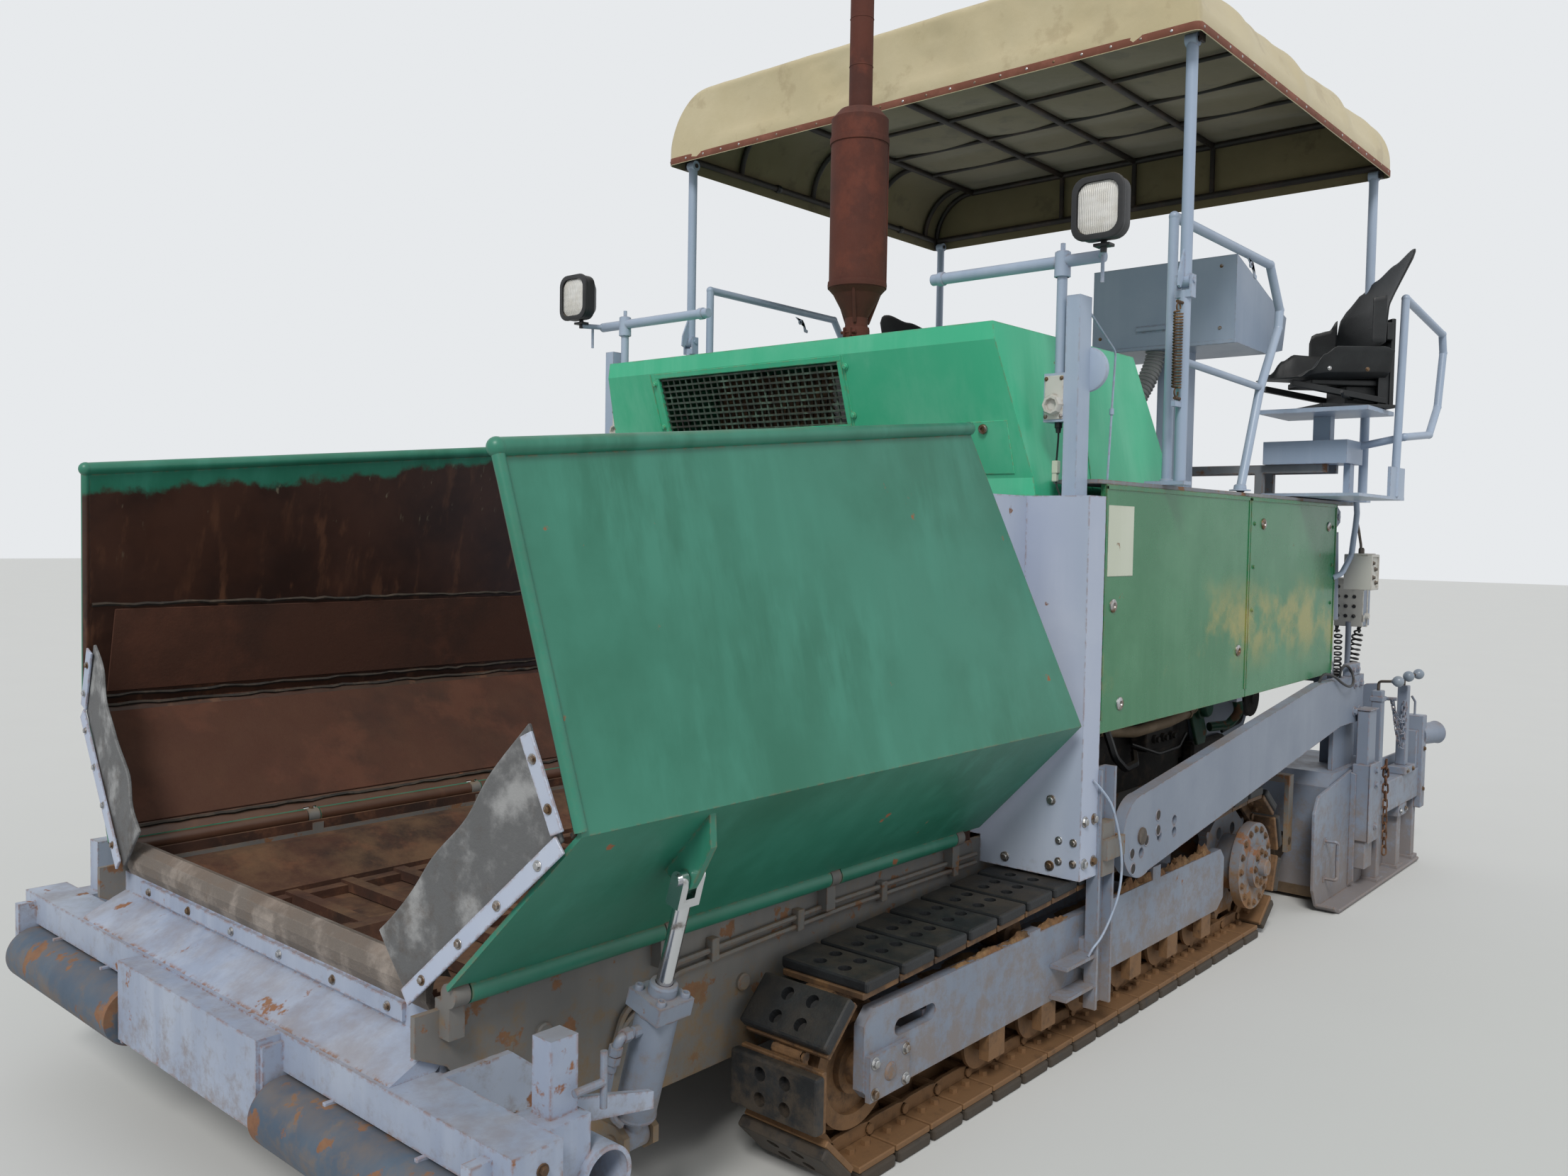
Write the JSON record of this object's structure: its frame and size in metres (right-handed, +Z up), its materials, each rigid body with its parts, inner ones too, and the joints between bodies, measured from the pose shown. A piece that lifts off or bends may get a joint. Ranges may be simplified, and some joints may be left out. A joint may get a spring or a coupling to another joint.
{
  "type": "tracked asphalt paver",
  "caption": "Crawler asphalt paver with a folding front hopper, green bodywork, canvas canopy, side seats and a towed screed with augers.",
  "frame": {"origin": "on the ground at the middle of the machine's length and width", "axes": "+X the way the machine travels, +Y to its left, +Z up"},
  "size_m": [6.18, 2.9384, 3.86],
  "materials": {
    "green_paint": "gloss",
    "grey_paint": "satin",
    "pale_paint": "satin",
    "dusty_grey": "matte",
    "deck_steel": "matte",
    "rust": "matte",
    "roller_rust": "matte",
    "track_rubber": "matte",
    "dusty_iron": "matte",
    "chrome": "polished",
    "engine_green": "satin",
    "dark_grille": "matte",
    "black_plastic": "matte",
    "rubber_sheet": "matte",
    "black_tube": "satin",
    "canvas": "woven"
  },
  "bodies": {
    "tractor": {"frame": "dusty_grey", "hopper_floor": "rust", "conveyor": "rust", "bulkhead": "pale_paint", "front_apron": "pale_paint", "push_beam": "pale_paint", "track_frames": "grey_paint", "track_left": "track_rubber", "track_right": "track_rubber", "sprockets": "dusty_iron", "idlers": "dusty_iron", "track_rollers": "dusty_iron", "hood": "green_paint", "grille": "dark_grille", "engine_block": "engine_green", "side_panels": "green_paint", "deck": "deck_steel", "rear_frame": "grey_paint", "exhaust": "rust", "console": "grey_paint", "handrails": "grey_paint", "lamps": "black_plastic", "corner_posts": "grey_paint", "canopy_stands": "grey_paint", "canopy_springs": "grey_paint", "tow_guides": "grey_paint", "auger_carrier": "dusty_grey"},
    "front_posts": {"canopy_posts_front": "grey_paint"},
    "rear_posts": {"canopy_posts_rear": "grey_paint"},
    "canopy": {"canopy_frame": "black_tube", "canopy_cover": "canvas"},
    "tow_slide": {"tow_blocks": "dusty_grey"},
    "tow_link": {"tow_pins": "dusty_iron"},
    "screed": {"tow_arms": "grey_paint", "screed_body": "grey_paint", "screed_plate": "dusty_iron", "end_plates": "grey_paint", "screed_gear": "grey_paint", "screed_walkway": "deck_steel"},
    "roller_left": {"push_roller_left": "roller_rust"},
    "wing_left": {"wing_left": "green_paint", "wing_flap_left": "rubber_sheet"},
    "wing_barrel_left": {"wing_barrel_left": "grey_paint"},
    "wing_rod_left": {"wing_rod_left": "chrome"},
    "auger_left": {"auger_left": "dusty_iron"},
    "lift_barrel_left": {"lift_barrel_left": "grey_paint"},
    "lift_rod_left": {"lift_rod_left": "chrome"},
    "seat_left": {"seat_frame_left": "grey_paint", "seat_left": "black_plastic"},
    "roller_right": {"push_roller_right": "roller_rust"},
    "wing_right": {"wing_right": "green_paint", "wing_flap_right": "rubber_sheet"},
    "wing_barrel_right": {"wing_barrel_right": "grey_paint"},
    "wing_rod_right": {"wing_rod_right": "chrome"},
    "auger_right": {"auger_right": "dusty_iron"},
    "lift_barrel_right": {"lift_barrel_right": "grey_paint"},
    "lift_rod_right": {"lift_rod_right": "chrome"},
    "seat_right": {"seat_frame_right": "grey_paint", "seat_right": "black_plastic"}
  },
  "joints": [
    {"name": "roller_spin_left", "type": "hinge", "parent": "tractor", "child": "roller_left", "pos_m": [3.01, 0.79, 0.374], "axis": [0, 1, 0], "continuous": true},
    {"name": "wing_fold_left", "type": "hinge", "parent": "tractor", "child": "wing_left", "pos_m": [1.85, 0.882, 0.728], "axis": [-1, 0, 0], "range_deg": [0, 40]},
    {"name": "wing_barrel_tilt_left", "type": "hinge", "parent": "tractor", "child": "wing_barrel_left", "pos_m": [2.44, 0.975, 0.3], "axis": [-1, 0, 0], "range_deg": [0, 16.75]},
    {"name": "wing_rod_slide_left", "type": "slide", "parent": "wing_barrel_left", "child": "wing_rod_left", "axis": [0, 0.273, 0.962], "range_m": [-0.18293, 0]},
    {"name": "auger_spin_left", "type": "hinge", "parent": "tractor", "child": "auger_left", "pos_m": [-1.53, 0.6, 0.33], "axis": [0, 1, 0], "continuous": true},
    {"name": "lift_barrel_tilt_left", "type": "hinge", "parent": "tractor", "child": "lift_barrel_left", "pos_m": [-1.905, 1.155, 1.85], "axis": [0, 1, 0], "range_deg": [-2.79, 0.2]},
    {"name": "lift_rod_slide_left", "type": "slide", "parent": "lift_barrel_left", "child": "lift_rod_left", "axis": [-0.0948, 0, -0.9955], "range_m": [-0.26169, 0]},
    {"name": "seat_slide_left", "type": "slide", "parent": "tractor", "child": "seat_left", "axis": [0, -1, 0], "range_m": [0, 0.15]},
    {"name": "roller_spin_right", "type": "hinge", "parent": "tractor", "child": "roller_right", "pos_m": [3.01, -0.79, 0.374], "axis": [0, 1, 0], "continuous": true},
    {"name": "wing_fold_right", "type": "hinge", "parent": "tractor", "child": "wing_right", "pos_m": [1.85, -0.882, 0.728], "axis": [1, 0, 0], "range_deg": [0, 40]},
    {"name": "wing_barrel_tilt_right", "type": "hinge", "parent": "tractor", "child": "wing_barrel_right", "pos_m": [2.44, -0.975, 0.3], "axis": [1, 0, 0], "range_deg": [0, 16.75]},
    {"name": "wing_rod_slide_right", "type": "slide", "parent": "wing_barrel_right", "child": "wing_rod_right", "axis": [0, -0.273, 0.962], "range_m": [-0.18293, 0]},
    {"name": "auger_spin_right", "type": "hinge", "parent": "tractor", "child": "auger_right", "pos_m": [-1.53, -0.6, 0.33], "axis": [0, 1, 0], "continuous": true},
    {"name": "lift_barrel_tilt_right", "type": "hinge", "parent": "tractor", "child": "lift_barrel_right", "pos_m": [-1.905, -1.155, 1.85], "axis": [0, 1, 0], "range_deg": [-2.79, 0.2]},
    {"name": "lift_rod_slide_right", "type": "slide", "parent": "lift_barrel_right", "child": "lift_rod_right", "axis": [-0.0948, 0, -0.9955], "range_m": [-0.26169, 0]},
    {"name": "seat_slide_right", "type": "slide", "parent": "tractor", "child": "seat_right", "axis": [0, 1, 0], "range_m": [0, 0.15]},
    {"name": "tow_rise", "type": "slide", "parent": "tractor", "child": "tow_slide", "axis": [0, 0, 1], "range_m": [0, 0.12]},
    {"name": "tow_level", "type": "hinge", "parent": "tow_slide", "child": "tow_link", "pos_m": [0.3, 0, 0.69], "axis": [0, 1, 0], "range_deg": [-2.21, 0]},
    {"name": "screed_lift", "type": "hinge", "parent": "tow_link", "child": "screed", "pos_m": [0.3, 0, 0.69], "axis": [0, 1, 0], "range_deg": [0, 6.5]},
    {"name": "canopy_fold", "type": "hinge", "parent": "tractor", "child": "front_posts", "pos_m": [0.075, 0, 2.65], "axis": [0, -1, 0], "range_deg": [0, 40]},
    {"name": "canopy_level", "type": "hinge", "parent": "front_posts", "child": "canopy", "pos_m": [0.075, 0, 3.495], "axis": [0, -1, 0], "range_deg": [-40, 0]},
    {"name": "rear_post_fold", "type": "hinge", "parent": "tractor", "child": "rear_posts", "pos_m": [-2.065, 0, 2.65], "axis": [0, -1, 0], "range_deg": [0, 40]}
  ],
  "couplings": [
    {"joint": "wing_barrel_tilt_left", "follows": "wing_fold_left", "ratio": 0.40627},
    {"joint": "wing_rod_slide_left", "follows": "wing_fold_left", "m_per_rad": -0.25916},
    {"joint": "lift_barrel_tilt_left", "follows": "screed_lift", "ratio": -0.39785},
    {"joint": "lift_rod_slide_left", "follows": "screed_lift", "m_per_rad": -2.2891},
    {"joint": "wing_barrel_tilt_right", "follows": "wing_fold_right", "ratio": 0.40627},
    {"joint": "wing_rod_slide_right", "follows": "wing_fold_right", "m_per_rad": -0.25916},
    {"joint": "lift_barrel_tilt_right", "follows": "screed_lift", "ratio": -0.39785},
    {"joint": "lift_rod_slide_right", "follows": "screed_lift", "m_per_rad": -2.2891},
    {"joint": "tow_level", "follows": "tow_rise", "rad_per_m": -0.30675},
    {"joint": "canopy_level", "follows": "canopy_fold", "ratio": -1},
    {"joint": "rear_post_fold", "follows": "canopy_fold", "ratio": 1}
  ]
}
